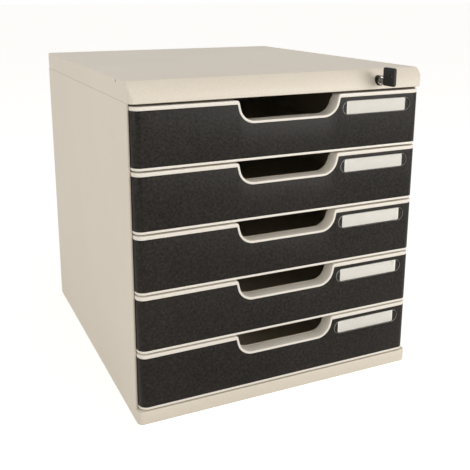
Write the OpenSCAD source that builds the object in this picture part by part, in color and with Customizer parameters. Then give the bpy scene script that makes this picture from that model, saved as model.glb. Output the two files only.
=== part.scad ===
// Desktop file drawer: A4 drawers with black front panels in a beige casing,
// under a separate lid that carries one lock for all the drawers.
// The origin is the middle of the face it stands on, +X is to the right as
// seen from the front, the drawers open towards -Y and +Z is up. Millimetres.

/* [Casing] */
// Width over the side walls
case_w = 291; // [276:1:330]
// Depth from the plane of the drawer fronts to the back
case_d = 328; // [322:1:400]
// Thickness of a side wall
side_t = 2; // [1.8:0.1:4]
// Thickness of the back panel
back_t = 2.5; // [2:0.1:4]
// How far the side walls stop behind the plane of the drawer fronts
side_inset = 8.5; // [6:0.5:11]
// Rounding of the side walls' upright outer edges
edge_r = 1.2; // [0.6:0.1:1.8]
// Width of the flange along the top of a side wall
top_flange_w = 17; // [15:0.5:24]
// Thickness of that flange
top_flange_t = 1.8; // [1.2:0.1:2]
// Width of the flush frame round the back panel's recessed field
back_frame = 16; // [10:1:30]
// Depth of that field
back_recess = 0.8; // [0.4:0.1:1.2]
// Corner radius of that field
back_recess_r = 8; // [4:1:12]
// Number of flush ribs that cross the field
back_ribs = 4; // [1:1:8]
// Width of such a rib
back_rib_w = 5; // [3:0.5:10]

/* [Base] */
// Thickness of the base plate
base_t = 2.5; // [2:0.1:4]
// Height of the plinth below the bottom drawer
plinth_h = 12.5; // [10:0.5:30]
// Depth of the plinth's shelf
plinth_depth = 18; // [14:1:40]
// Rounding of the plinth's two front corners
plinth_r = 5; // [0.5:0.1:8]
// Wall thickness of the plinth
plinth_t = 2.5; // [2:0.1:3.5]
// Height of the stiffening ribs above the base plate
base_rib_h = 6; // [3:0.5:7]
// Thickness of a stiffening rib
base_rib_t = 2; // [1.5:0.1:4]
// Number of stiffening ribs
base_ribs = 4; // [2:1:8]
// Radius of an anti-slip pad
pad_r = 10; // [6:0.5:16]
// Thickness of an anti-slip pad
pad_t = 1.2; // [0.8:0.1:1.6]
// Distance of a pad's centre from the edges of the base plate
pad_edge = 24; // [18:1:50]

/* [Lid] */
// Height of the lid
lid_h = 18; // [15:0.5:24]
// Wall thickness of the lid
lid_t = 2; // [1.8:0.1:4]
// How far the lid's rounded nose leans back from bottom to top
nose_depth = 9.5; // [8:0.5:14]
// Corner radius of the lid's front corners, seen from above
lid_front_r = 6; // [5:0.5:11]
// Rounding of the lid's other edges
lid_edge_r = 1.8; // [0.8:0.1:2.4]
// Outer radius of a screw boss under the lid
boss_r = 3.6; // [3:0.1:5]
// Distance of a screw boss from the outside of the side wall
boss_in = 15; // [13:0.5:20]
// Distance of the first screw boss behind the plane of the drawer fronts
boss_front = 48; // [44:1:80]
// Distance of the last screw boss from the back
boss_back = 30; // [20:1:60]
// Radius of the small hole near the front end of each top edge
pin_hole_r = 1.2; // [0.6:0.1:1.6]
// Distance of that hole behind the plane of the drawer fronts
pin_hole_y = 36; // [20:1:60]

/* [Drawers] */
// Number of drawers
drawer_count = 5; // [2:1:6]
// Height of a drawer front
front_h = 53; // [48:0.5:80]
// Gap between two drawer fronts
front_gap = 1.65; // [1:0.05:4]
// Gap between the top drawer front and the lid
lid_gap = 2.2; // [1.4:0.1:5]
// Gap between the bottom drawer front and the plinth
plinth_gap = 1.6; // [1:0.1:4]
// Gap between a drawer front's end and the side wall
front_side_gap = 0.4; // [0.3:0.05:1]
// Corner radius of a drawer front, seen from above
front_r = 7.5; // [6:0.5:11]
// Depth of a drawer front from its face to its back edge
front_depth = 12.5; // [11.5:0.5:14]
// Wall thickness behind the black panel
front_t = 2.4; // [1.6:0.1:3]
// Thickness of the flanges along a front's top and bottom
front_flange_t = 2; // [1.4:0.1:2.2]
// Height of the pale rim above the black panel
rim_top = 3.3; // [2.4:0.1:6]
// Height of the pale rim below the black panel
rim_bottom = 2.2; // [2:0.1:6]

/* [Finger cut-out] */
// Centre of the cut-out, to the right of the drawer's middle
cut_x = 2.1; // [-20:0.1:10]
// Clear width of the cut-out's flat bottom
cut_flat = 70; // [50:1:90]
// Depth of the cut-out below the front's top edge
cut_depth = 18.4; // [17:0.2:24]
// Radius of the cut-out's lower corners
cut_r = 14; // [8:0.5:15]
// Radius of the cut-out's upper corners
cut_top_r = 2.5; // [1:0.1:2.8]
// Lean of the cut-out's sides from upright
cut_lean = 13; // [6:1:20]
// Width of the pale rim between the cut-out and the black panel
cut_rim = 2.1; // [1.5:0.1:3]

/* [Front panel and label] */
// Thickness of the black panel
panel_t = 2; // [1.6:0.1:2.6]
// How far the panel wraps round the front's corners
panel_wrap = 10.5; // [9.5:0.5:11]
// Gap round the edges of the panel
panel_fit = 0.1; // [0.05:0.05:0.2]
// Distance from the cut-out's flat bottom to the label window's left end
window_from = 19; // [18:0.5:26]
// Distance from the window's right end to the right end of the drawer front
window_end = 11; // [6:0.5:12]
// Height of the label window
window_h = 13.4; // [12.6:0.2:14]
// Distance from the front's top edge down to the window's centre
window_drop = 13.3; // [12:0.1:20]
// Depth of the pocket that holds the label and its window
pocket_depth = 1.2; // [0.9:0.1:1.3]
// How far the window stands out of the panel
window_proud = 0.4; // [0.2:0.1:0.8]
// Gap round the window in its pocket
window_fit = 0.1; // [0.05:0.05:0.2]
// How much shorter the paper label is than the window
card_margin = 10.6; // [10:0.2:20]
// Height of the paper label
card_h = 12.1; // [10:0.1:12.4]
// Thickness of the paper label
card_t = 0.3; // [0.2:0.1:0.4]

/* [Trays] */
// Length of a tray, for A4 sheets
tray_l = 302; // [300:1:306]
// How far a tray's walls stop below the top edge of its front
tray_drop = 4.5; // [4.4:0.1:9]
// Thickness of a tray's walls
tray_t = 2; // [1.6:0.1:3]
// Thickness of a tray's floor
tray_floor_t = 2; // [1.6:0.1:3]
// Corner radius of a tray, seen from above
tray_r = 5; // [4:0.5:9]
// Height of the tray's underside above the bottom of its front
tray_lift = 1.5; // [0.8:0.1:3]

/* [Rails and runners] */
// How far a tray's rail stands out from the tray wall
rail_out = 8.4; // [7:0.2:10]
// Thickness of a tray's rail
rail_t = 2; // [1.6:0.1:2.4]
// Gap between a rail and the shelf it slides on
rail_gap = 0.3; // [0.2:0.05:0.4]
// Gap between a rail's edge and the runner's web
rail_side_gap = 0.8; // [0.5:0.1:1.2]
// Thickness of a runner's web
runner_web = 2.3; // [2.2:0.1:3.5]
// Thickness of a runner's two shelves
runner_shelf_t = 1.6; // [1.2:0.1:1.8]
// Width of a runner's two shelves
runner_shelf_w = 6; // [4:0.5:7]
// Distance of a runner's front end behind the plane of the drawer fronts
runner_start = 32; // [32:1:60]

/* [Lock] */
// Distance of the lock's axis from the right side of the casing
lock_in = 49.5; // [34:0.5:64]
// Height of the lock's axis above the underside of the lid
lock_rise = 8; // [7.6:0.1:8.2]
// Radius of the lock's barrel
barrel_r = 4.7; // [4.5:0.1:5]
// Gap round the barrel in the lid
barrel_fit = 0.1; // [0.05:0.05:0.15]
// How far the barrel stands out of the plane of the drawer fronts
barrel_proud = 1.6; // [0.8:0.1:3]
// Radius of the turning core
core_r = 3.6; // [3.5:0.1:3.7]
// Running gap round the core
core_fit = 0.06; // [0.03:0.01:0.09]
// Width of the block under the lid that carries the barrel
lock_block_w = 17; // [14:0.5:24]
// Depth of that block behind the plane of the drawer fronts
lock_block_d = 12; // [11:0.5:14]
// Thickness of the spring clip behind that block
clip_t = 1; // [0.8:0.1:1.2]
// Depth of the groove in the barrel for the clip
clip_groove = 0.7; // [0.5:0.1:0.8]
// Width of a leg of the clip beside the barrel
clip_wing = 2; // [1.5:0.1:3]
// Height of the clip's bow above the axis
clip_rise = 3; // [2:0.1:4]
// How far the barrel runs on behind the clip
barrel_lip = 1; // [0.8:0.1:1.5]
// How far the core's face lies behind the barrel's
core_recess = 0.2; // [0.1:0.1:0.5]
// Gap between the barrel's end and the cam
cam_gap = 0.5; // [0.2:0.1:0.8]
// Radius of the cam disc
cam_r = 4.4; // [4.2:0.1:4.6]
// Thickness of the cam disc
cam_t = 2; // [1.6:0.1:3]
// Radius of the cam's pin
cam_pin_r = 1; // [0.8:0.05:1.1]
// Travel of the lock bar between open and locked
bar_travel = 4; // [3.6:0.1:4.2]
// Thickness of the lock bar
bar_t = 2; // [1.5:0.1:2]
// Width of the lock bar
bar_w = 12; // [10:0.5:12]
// Distance of the bar's front edge behind the plane of the drawer fronts
bar_y = 16.5; // [16:0.1:17]
// Height of the arm that joins the bar to the cam
arm_h = 5; // [4.6:0.1:5.2]
// Gap on each side of the moving bar
bar_gap = 0.3; // [0.2:0.05:0.4]
// Height of the bar's lower end above the bottom of the lowest drawer front
bar_foot = 8; // [4:0.5:10]
// Height of a hook on the bar
hook_h = 3; // [2:0.1:3.2]
// Depth of a hook, front to back
hook_d = 5.5; // [4:0.5:5.5]
// Gap between a locked hook and the catch on the tray
catch_gap = 0.5; // [0.3:0.1:0.8]
// Height of the catch on a tray
catch_h = 5; // [4:0.5:8]
// Depth of the catch, front to back
catch_d = 5; // [3:0.5:8]
// How far the catch stands out from the tray wall
catch_out = 4.5; // [3:0.5:6]
// Height of the catch's top above the bottom of its front
catch_z = 30; // [26:0.5:34]
// Height of a bar guide
guide_h = 6; // [4:0.5:8]
// Height of a bar guide above the bottom of its drawer front
guide_z = 12; // [8:0.5:16]
// Wall thickness of a bar guide
guide_t = 1.5; // [1.2:0.1:1.8]

/* [Key] */
// Length of the key's head
bow_l = 16; // [12:0.5:30]
// Height of the key's head
bow_h = 16.6; // [12:0.2:20]
// Thickness of the key's head
bow_t = 3; // [2.4:0.1:5]
// Corner radius of the key's head
bow_r = 2; // [1:0.1:4]
// Height of the head's centre above the key's axis
bow_rise = 4.6; // [0:0.2:5]
// Radius of the hole in the key's head
bow_hole_r = 1.7; // [1:0.1:2.5]
// Distance of that hole's centre from the head's far edge
bow_hole_in = 4.2; // [3:0.1:6]
// Height of that hole's centre above the head's middle
bow_hole_rise = 0.6; // [0:0.1:3]
// Gap between the plane of the drawer fronts and the key's head
bow_gap = 6; // [4:0.5:12]
// Thickness of the key's blade
blade_t = 1.8; // [1.4:0.1:2]
// Height of the key's blade
blade_h = 5.4; // [4.6:0.1:5.6]
// Length of the blade inside the lock
blade_in = 12; // [10:0.5:13]
// Gap round the blade in its keyway
blade_fit = 0.2; // [0.1:0.05:0.3]
// Distance between the cuts in the blade
cut_step = 2.4; // [2:0.1:2.6]
// Length of a cut where it is widest
cut_w = 2; // [1.4:0.1:2]
// Depth of the shallow cuts; the deep ones have half as much again
cut_d = 0.9; // [0.5:0.1:1.1]
// Length of the slope at the blade's tip
tip_slope = 1.2; // [0.6:0.1:1.4]

/* [Hidden] */
BEIGE = "#d8d0c2";
BLACK = "#35322e";
STEEL = "#9a9c9e";
DARK_STEEL = "#4a4a4c";
CLEAR = [0.85, 0.87, 0.86, 0.45];
WHITE = "#f0ece6";
RUBBER = "#2b2b2b";
BRASS = "#b9a26a";
$fn = 48;
// Small length by which a cut runs past the face that it opens
over = 1;
// Angle at which the cut-out's arcs cross its straight lines
ease = 2;
y_front = -case_d / 2;
y_back = case_d / 2;
side_in = case_w / 2 - side_t;
drawer_pitch = front_h + front_gap;
stack_h = drawer_count * drawer_pitch - front_gap;
lid_z = plinth_h + plinth_gap + stack_h + lid_gap;
case_h = lid_z + lid_h;
// The nose is an arc, upright where it meets the lid's lower edge
nose_r = (nose_depth * nose_depth + lid_h * lid_h) / (2 * nose_depth);
front_half = side_in - front_side_gap;
front_wall = panel_t + front_t;
window_w = front_half - window_end - (cut_x + cut_flat / 2 + window_from);
window_x = front_half - window_end - window_w / 2;
card_w = window_w - card_margin;
tray_h = front_h - tray_lift - tray_drop;
rail_edge = side_in - runner_web - rail_side_gap;
tray_half = rail_edge - rail_out;
tray_y = y_front + front_depth;
rail_start = tray_y + tray_r;
runner_y = y_front + runner_start;
// Lock bar, measured from the side wall inwards
bar_x = side_in - bar_gap - bar_t;
bar_front = y_front + bar_y;
hook_x = tray_half + over;
catch_front = bar_front + hook_d + catch_gap;
lock_x = case_w / 2 - lock_in;
lock_z = lid_z + lock_rise;
// The cam's pin swings from 45 degrees above the axis to 45 below it
cam_throw = bar_travel / (2 * sin(45));
rail_z = tray_lift + tray_h;
block_back = y_front + lock_block_d;
clip_y = block_back;
barrel_back = clip_y + clip_t + barrel_lip;
cam_y = barrel_back + cam_gap;
arm_t = bar_t;
arm_y = cam_y + cam_t + bar_gap;
slot_h = 2 * (cam_pin_r + bar_gap + 0.05 * cam_throw);
keyway_h = blade_h + 2 * blade_fit;
keyway_t = blade_t + 2 * blade_fit;
boss_ys = [y_front + boss_front, 0, y_back - boss_back];
// The lid's screws: thread, its hole, the hole in the flange, and the head
screw_r = 1.45;
screw_hole_r = 1.5;
screw_clear_r = 1.8;
screw_head_r = 2.9;
screw_head_h = 1.3;
screw_l = lid_h - lid_t - 2;
// The cam's countersunk screw: thread, head, and the gap round both
cam_screw_r = 0.75;
cam_head_r = 1.5;
cam_head_h = 0.7;
cam_screw_l = cam_t + 1;
cam_screw_fit = 0.15;

function drawer_z(i) = plinth_h + plinth_gap + (drawer_count - i) * drawer_pitch;
function numbered(name) = [for (i = [1:drawer_count]) str(name, i)];

// ---- Helpers --------------------------------------------------------------

// Carries an outline drawn in x and z along y
module along_y(y_from, y_to) {
    translate([0, y_to, 0]) rotate([90, 0, 0]) linear_extrude(y_to - y_from) children();
}

// Carries an outline drawn in y and z along x
module along_x(x_from, x_to) {
    translate([x_from, 0, 0]) rotate([90, 0, 90]) linear_extrude(x_to - x_from) children();
}

// Box between two opposite corners
module box(low, high) {
    translate(low) cube(high - low);
}

// Plan of a rectangle with different front and back corner radii
module plan(half_w, from_y, to_y, r_front, r_back) {
    intersection() {
        union() {
            translate([-half_w, from_y + r_front]) square([2 * half_w, to_y - from_y - r_front - r_back]);
            for (end = [[from_y, 1, r_front], [to_y, -1, r_back]]) if (end[2] > 0) {
                y_mid = end[0] + end[1] * end[2];
                translate([-half_w + end[2], min(end[0], y_mid)]) square([2 * (half_w - end[2]), end[2]]);
                for (s = [-1, 1]) translate([s * (half_w - end[2]), y_mid]) circle(end[2]);
            }
        }
        translate([-half_w, from_y]) square([2 * half_w, to_y - from_y]);
    }
}

// Rectangle with rounded corners, standing on the origin
module round_rect(w, h, r) {
    translate([-w / 2, r]) square([w, h - 2 * r]);
    translate([-w / 2 + r, 0]) square([w - 2 * r, h]);
    for (x = [-1, 1], z = [r, h - r]) translate([x * (w / 2 - r), z]) circle(r);
}

// Stadium about the origin
module stadium(w, h) {
    square([w - h, h], center = true);
    for (s = [-1, 1]) translate([s * (w - h) / 2, 0]) circle(h / 2);
}

// Finger cut-out in x and z, grown outwards by grow. Each circle is drawn a
// hair larger than the arc that would just touch the straight lines, so that
// it crosses them at the angle ease
module cut_outline(grow) {
    z_top = front_h;
    r = cut_r + grow;
    arc_x = cut_flat / 2;
    arc_z = z_top - cut_depth + cut_r;
    meet = [arc_x + r * cos(cut_lean), arc_z - r * sin(cut_lean)];
    edge_x = meet[0] + (z_top - meet[1]) * tan(cut_lean);
    round_l = cut_top_r / tan(45 + cut_lean / 2);
    translate([cut_x, 0]) {
        for (s = [-1, 1]) {
            translate([s * arc_x, arc_z]) circle(r / cos(ease));
            polygon([
                [0, z_top + over],
                [0, arc_z - r],
                [s * arc_x, arc_z - r],
                [s * meet[0], meet[1]],
                [s * edge_x, z_top],
                [s * edge_x, z_top + over]
            ]);
            if (grow == 0) difference() {
                polygon([
                    [s * (edge_x - over), z_top + over],
                    [s * (edge_x + round_l), z_top + over],
                    [s * (edge_x + round_l), z_top - cut_top_r],
                    [s * (edge_x - round_l * sin(cut_lean)), z_top - round_l * cos(cut_lean)]
                ]);
                translate([s * (edge_x + round_l), z_top - cut_top_r]) circle(cut_top_r / cos(ease));
            }
        }
    }
}

// ---- Casing ---------------------------------------------------------------

// Base plate with its plinth, ribs and the recesses for the pads
module base() {
    rib_step = 2 * side_in / (base_ribs + 1);
    inner_y = y_front + plinth_t;
    color(BEIGE) difference() {
        union() {
            linear_extrude(plinth_h)
                plan(case_w / 2, y_front, y_front + side_inset, plinth_r, 0);
            box([-side_in, inner_y, 0], [side_in, y_front + plinth_depth, plinth_h]);
            box([-side_in, inner_y, 0], [side_in, y_back, base_t]);
            for (k = [1:base_ribs]) {
                x = -side_in + k * rib_step;
                box(
                    [x - base_rib_t / 2, y_front + plinth_depth - plinth_t, 0],
                    [x + base_rib_t / 2, y_back - back_t, base_t + base_rib_h]
                );
            }
        }
        box(
            [-side_in + plinth_t, inner_y, base_t],
            [side_in - plinth_t, y_front + plinth_depth - plinth_t, plinth_h - plinth_t]
        );
        pad_places() cylinder(r = pad_r, h = 2 * pad_t, center = true);
    }
}

module pad_places() {
    for (x = [-1, 1], y = [-1, 1]) {
        translate([x * (side_in - pad_edge), y * (case_d / 2 - pad_edge), 0]) children();
    }
}

module anti_slip_pads() {
    color(RUBBER) pad_places() cylinder(r = pad_r, h = pad_t);
}

// Side wall; s is -1 for the left and 1 for the right
module side_wall(s) {
    wall_y = y_front + side_inset;
    color(BEIGE) difference() {
        union() {
            linear_extrude(lid_z) intersection() {
                plan(case_w / 2, wall_y, y_back, edge_r, edge_r);
                translate([s > 0 ? side_in : -case_w / 2, wall_y]) square([side_t, y_back - wall_y]);
            }
            mirror([s > 0 ? 0 : 1, 0, 0]) box(
                [case_w / 2 - top_flange_w, runner_y, lid_z - top_flange_t],
                [side_in + side_t / 2, y_back - back_t, lid_z]
            );
        }
        for (y = boss_ys) {
            translate([s * (case_w / 2 - boss_in), y, lid_z - 2 * top_flange_t])
                cylinder(r = screw_clear_r, h = 4 * top_flange_t);
        }
    }
}

// Back panel with a recessed field crossed by flush ribs
module back_panel() {
    field_w = 2 * (side_in - back_frame);
    field_h = lid_z - base_t - 2 * back_frame;
    rib_step = field_h / (back_ribs + 1);
    color(BEIGE) difference() {
        box([-side_in, y_back - back_t, base_t], [side_in, y_back, lid_z]);
        along_y(y_back - back_recess, y_back + over) translate([0, base_t + back_frame]) difference() {
            round_rect(field_w, field_h, back_recess_r);
            for (k = [1:back_ribs]) {
                translate([-field_w / 2 - over, k * rib_step - back_rib_w / 2])
                    square([field_w + 2 * over, back_rib_w]);
            }
        }
    }
}

// The lid's form, drawn in by t on all sides, with its underside at z
module lid_form(t, z) {
    front = y_front + t;
    back = y_back - t;
    top = case_h - t;
    half = case_w / 2 - t;
    r = max(lid_edge_r - t, 0.4);
    // The flat top starts just behind the place where the nose's arc reaches it
    flat_y = y_front + nose_r - sqrt(pow(nose_r - t, 2) - pow(top - lid_z, 2)) + over / 2;
    intersection() {
        translate([0, 0, z]) linear_extrude(top - z) plan(half, front, back, lid_front_r - t, r);
        along_x(-half, half) union() {
            translate([flat_y, z]) square([back - flat_y - r, top - z]);
            translate([back - r, z]) square([r, top - r - z]);
            translate([back - r, top - r]) circle(r);
            intersection() {
                translate([y_front + nose_r, lid_z]) circle(nose_r - t);
                translate([front, lid_z]) square([nose_depth + over, top - lid_z]);
            }
            if (z < lid_z) translate([front, z]) square([nose_depth + over, lid_z - z]);
        }
        along_y(front, back) union() {
            translate([-half, z]) square([2 * half, top - r - z]);
            translate([-half + r, z]) square([2 * (half - r), top - z]);
            for (s = [-1, 1]) translate([s * (half - r), top - r]) circle(r);
        }
    }
}

// Lid with its hollow underside, the screw bosses and the lock's block
module lid() {
    color(BEIGE) difference() {
        union() {
            difference() {
                lid_form(0, lid_z);
                lid_form(lid_t, lid_z - over);
            }
            intersection() {
                lid_form(0.2, lid_z);
                box(
                    [lock_x - lock_block_w / 2, y_front, lid_z],
                    [lock_x + lock_block_w / 2, block_back, case_h]
                );
            }
            for (s = [-1, 1], y = boss_ys) {
                translate([s * (case_w / 2 - boss_in), y, lid_z]) cylinder(r = boss_r, h = lid_h - lid_t / 2);
            }
        }
        for (s = [-1, 1], y = boss_ys) {
            translate([s * (case_w / 2 - boss_in), y, lid_z - over])
                cylinder(r = screw_hole_r, h = lid_h - lid_t);
        }
        translate([lock_x, y_front - over, lock_z]) rotate([-90, 0, 0])
            cylinder(r = barrel_r + barrel_fit, h = front_depth + 2 * over);
        for (s = [-1, 1]) {
            translate([s * case_w / 2, y_front + pin_hole_y, case_h - 2 * pin_hole_r]) rotate([0, 90, 0])
                cylinder(r = pin_hole_r, h = 2 * (lid_t + over), center = true);
        }
    }
}

// Screws that hold the lid to the side walls' flanges, from below
module lid_screws() {
    color(STEEL) for (s = [-1, 1], y = boss_ys) {
        translate([s * (case_w / 2 - boss_in), y, lid_z - top_flange_t]) {
            cylinder(r = screw_r, h = screw_l);
            translate([0, 0, -screw_head_h]) cylinder(r = screw_head_r, h = screw_head_h);
        }
    }
}

// One runner for each drawer: a channel whose groove guides the tray's rail
module runners(s) {
    color(BEIGE) for (i = [1:drawer_count]) {
        groove_low = drawer_z(i) + rail_z - rail_gap;
        groove_high = groove_low + rail_t + 2 * rail_gap;
        web_x = side_in - runner_web;
        mirror([s > 0 ? 0 : 1, 0, 0]) along_y(runner_y, y_back - back_t) difference() {
            translate([web_x - runner_shelf_w, groove_low - runner_shelf_t])
                square([runner_shelf_w + runner_web, groove_high - groove_low + 2 * runner_shelf_t]);
            translate([web_x - runner_shelf_w - over, groove_low])
                square([runner_shelf_w + over, groove_high - groove_low]);
        }
    }
}

// ---- Drawers --------------------------------------------------------------
// A drawer's parts are drawn with the bottom of its front at z = 0

// Hollow front moulding, open at the back, with its finger cut-out and lip
module drawer_front() {
    back = y_front + front_depth;
    inner_r = front_r - front_wall;
    color(BEIGE) difference() {
        union() {
            difference() {
                linear_extrude(front_h) plan(front_half, y_front, back, front_r, 0);
                translate([0, 0, front_flange_t]) linear_extrude(front_h - 2 * front_flange_t)
                    plan(front_half - front_wall, y_front + front_wall, back + over, inner_r, 0);
            }
            along_y(y_front + panel_t, back) intersection() {
                cut_outline(cut_rim);
                translate([-case_w / 2, 0]) square([case_w, front_h]);
            }
        }
        along_y(y_front - over, back + over) cut_outline(0);
        difference() {
            translate([0, 0, rim_bottom]) linear_extrude(front_h - rim_bottom - rim_top)
                panel_ring(over);
            along_y(y_front - 2 * over, back) cut_outline(cut_rim);
        }
    }
}

// Plan of the layer that the black panel fills, standing proud by extra
module panel_ring(extra) {
    difference() {
        plan(front_half + extra, y_front - extra, y_front + panel_wrap, front_r + extra, 0);
        plan(front_half - panel_t, y_front + panel_t, y_front + panel_wrap + over, front_r - panel_t, 0);
    }
}

// Black panel let into the front, wrapped round both corners
module front_panel() {
    color(BLACK) difference() {
        translate([0, 0, rim_bottom + panel_fit])
            linear_extrude(front_h - rim_bottom - rim_top - 2 * panel_fit) panel_ring(0);
        along_y(y_front - over, y_front + front_wall) cut_outline(cut_rim + panel_fit);
        along_y(y_front - over, y_front + pocket_depth)
            translate([window_x, front_h - window_drop]) stadium(window_w, window_h);
    }
}

// Clear window over the label
module label_window() {
    color(CLEAR) along_y(y_front - window_proud, y_front + pocket_depth - card_t)
        translate([window_x, front_h - window_drop])
            stadium(window_w - 2 * window_fit, window_h - 2 * window_fit);
}

module label_card() {
    color(WHITE) along_y(y_front + pocket_depth - card_t, y_front + pocket_depth)
        translate([window_x, front_h - window_drop]) square([card_w, card_h], center = true);
}

// Open tray whose front wall repeats the finger cut-out
module drawer_tray() {
    color(BEIGE) difference() {
        translate([0, 0, tray_lift]) linear_extrude(tray_h)
            plan(tray_half, tray_y, tray_y + tray_l, tray_r, tray_r);
        translate([0, 0, tray_lift + tray_floor_t]) linear_extrude(tray_h)
            plan(
                tray_half - tray_t, tray_y + tray_t, tray_y + tray_l - tray_t,
                tray_r - tray_t, tray_r - tray_t
            );
        along_y(tray_y - over, tray_y + tray_r) cut_outline(0);
    }
}

// Rails on the tray's upper edges, and the catch for the lock's hook
module tray_rails() {
    color(BEIGE) {
        for (s = [-1, 1]) mirror([s > 0 ? 0 : 1, 0, 0])
            box(
                [tray_half - tray_t, rail_start, rail_z],
                [rail_edge, tray_y + tray_l - tray_r, rail_z + rail_t]
            );
        box(
            [tray_half, catch_front, catch_z - catch_h],
            [tray_half + catch_out, catch_front + catch_d, catch_z]
        );
    }
}

// ---- Lock -----------------------------------------------------------------

// Places a child on the lock's axis, turned so that its z runs to the back
module on_lock(y) {
    translate([lock_x, y, lock_z]) rotate([-90, 0, 0]) children();
}

// Barrel fixed in the lid, grooved for the clip behind the block
module lock_barrel() {
    length = barrel_back - y_front + barrel_proud;
    color(DARK_STEEL) on_lock(y_front - barrel_proud) difference() {
        cylinder(r = barrel_r, h = length);
        translate([0, 0, -over]) cylinder(r = core_r + core_fit, h = length + 2 * over);
        translate([0, 0, clip_y - y_front + barrel_proud]) difference() {
            cylinder(r = barrel_r + over, h = clip_t);
            translate([0, 0, -over]) cylinder(r = barrel_r - clip_groove, h = clip_t + 2 * over);
        }
    }
}

// Spring clip pushed up over the barrel's groove
module lock_clip() {
    neck = barrel_r - clip_groove + barrel_fit / 2;
    half = barrel_r + clip_wing;
    foot = lock_rise - barrel_fit;
    color(STEEL) along_y(clip_y, clip_y + clip_t) translate([lock_x, lock_z]) difference() {
        translate([-half, -foot]) square([2 * half, foot + clip_rise]);
        circle(neck);
        translate([-neck, 0]) square([2 * neck, lock_rise]);
    }
}

// Turning core with the keyway
module lock_core() {
    face = y_front - barrel_proud + core_recess;
    color(STEEL) difference() {
        on_lock(face) cylinder(r = core_r, h = cam_y - face);
        box(
            [lock_x - keyway_t / 2, y_front - barrel_proud - over, lock_z - keyway_h / 2],
            [lock_x + keyway_t / 2, y_front + blade_in + blade_fit, lock_z + keyway_h / 2]
        );
        on_lock(cam_y - cam_screw_l + cam_t - cam_screw_fit)
            cylinder(r = cam_screw_r + cam_screw_fit / 3, h = cam_screw_l);
    }
}

// Cam on the core's end; its pin moves the bar's arm
module lock_cam() {
    color(STEEL) difference() {
        union() {
            on_lock(cam_y) cylinder(r = cam_r, h = cam_t);
            translate([cam_throw * cos(45), 0, cam_throw * sin(45)]) on_lock(cam_y)
                cylinder(r = cam_pin_r, h = cam_t + 2 * bar_gap + arm_t);
        }
        on_lock(cam_y - over) cylinder(r = cam_screw_r + cam_screw_fit, h = cam_t + 2 * over);
        on_lock(cam_y + cam_t - cam_head_h - cam_screw_fit) cylinder(
            r1 = cam_screw_r + cam_screw_fit, r2 = cam_head_r + cam_screw_fit,
            h = cam_head_h + cam_screw_fit
        );
    }
}

module lock_cam_screw() {
    color(STEEL) {
        on_lock(cam_y + cam_t - cam_screw_l) cylinder(r = cam_screw_r, h = cam_screw_l);
        on_lock(cam_y + cam_t - cam_head_h)
            cylinder(r1 = cam_screw_r, r2 = cam_head_r, h = cam_head_h);
    }
}

// Upright steel strip behind the right ends of the drawer fronts
module lock_bar() {
    color(STEEL) box(
        [bar_x, bar_front, drawer_z(drawer_count) + bar_foot],
        [bar_x + bar_t, bar_front + bar_w, lock_z + bar_travel / 2 + arm_h / 2]
    );
}

// Arm from the bar to the cam, slotted for the cam's pin
module lock_bar_arm() {
    z_mid = lock_z + bar_travel / 2;
    play = cam_pin_r + bar_gap;
    slot_from = lock_x + cam_throw * cos(45) - play;
    slot_to = lock_x + cam_throw + play;
    color(STEEL) along_y(arm_y, arm_y + arm_t) difference() {
        translate([lock_x - cam_r, z_mid - arm_h / 2]) square([bar_x - lock_x + cam_r, arm_h]);
        translate([slot_from, z_mid - slot_h / 2]) square([slot_to - slot_from, slot_h]);
    }
}

// One hook for each drawer; it drops in front of the tray's catch
module lock_bar_hooks() {
    color(STEEL) for (i = [1:drawer_count]) {
        z0 = drawer_z(i) + catch_z + 2 * bar_gap;
        box([hook_x, bar_front, z0], [bar_x, bar_front + hook_d, z0 + hook_h]);
    }
}

// Guides on the right side wall that keep the bar upright
module lock_bar_guides() {
    color(BEIGE) for (i = [1:drawer_count]) {
        z0 = drawer_z(i) + guide_z;
        outer_y = bar_gap + guide_t;
        difference() {
            box(
                [bar_x - bar_gap - guide_t, bar_front - outer_y, z0],
                [side_in, bar_front + bar_w + outer_y, z0 + guide_h]
            );
            box(
                [bar_x - bar_gap, bar_front - bar_gap, z0 - over],
                [side_in + over, bar_front + bar_w + bar_gap, z0 + guide_h + over]
            );
        }
    }
}

// ---- Key ------------------------------------------------------------------

// Flat blade with its cuts along the lower edge
module key_blade() {
    tip = y_front + blade_in;
    low = lock_z - blade_h / 2;
    color(STEEL) difference() {
        box(
            [lock_x - blade_t / 2, y_front - bow_gap, low],
            [lock_x + blade_t / 2, tip, lock_z + blade_h / 2]
        );
        along_x(lock_x - blade_t, lock_x + blade_t) {
            for (k = [0:3]) {
                y = tip - tip_slope - cut_w - k * cut_step;
                depth = cut_d * (1 + (k % 2) / 2);
                polygon([
                    [y - cut_w / 2 * (1 + over / depth), low - over],
                    [y + cut_w / 2 * (1 + over / depth), low - over],
                    [y, low + depth]
                ]);
            }
            polygon([[tip - tip_slope - over, low - over], [tip + over, low - over], [tip + over, low + tip_slope + over]]);
        }
    }
}

// Moulded plastic head, with a hole for a ring
module key_head() {
    back = y_front - bow_gap;
    mid_z = lock_z + bow_rise;
    color(BLACK) along_x(lock_x - bow_t / 2, lock_x + bow_t / 2) difference() {
        translate([back - bow_l / 2, mid_z]) union() {
            square([bow_l - 2 * bow_r, bow_h], center = true);
            square([bow_l, bow_h - 2 * bow_r], center = true);
            for (y = [-1, 1], z = [-1, 1])
                translate([y * (bow_l / 2 - bow_r), z * (bow_h / 2 - bow_r)]) circle(bow_r);
        }
        translate([back - bow_l + bow_hole_in, mid_z + bow_hole_rise]) circle(bow_hole_r);
    }
}

// ---- Nodes ----------------------------------------------------------------

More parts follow.
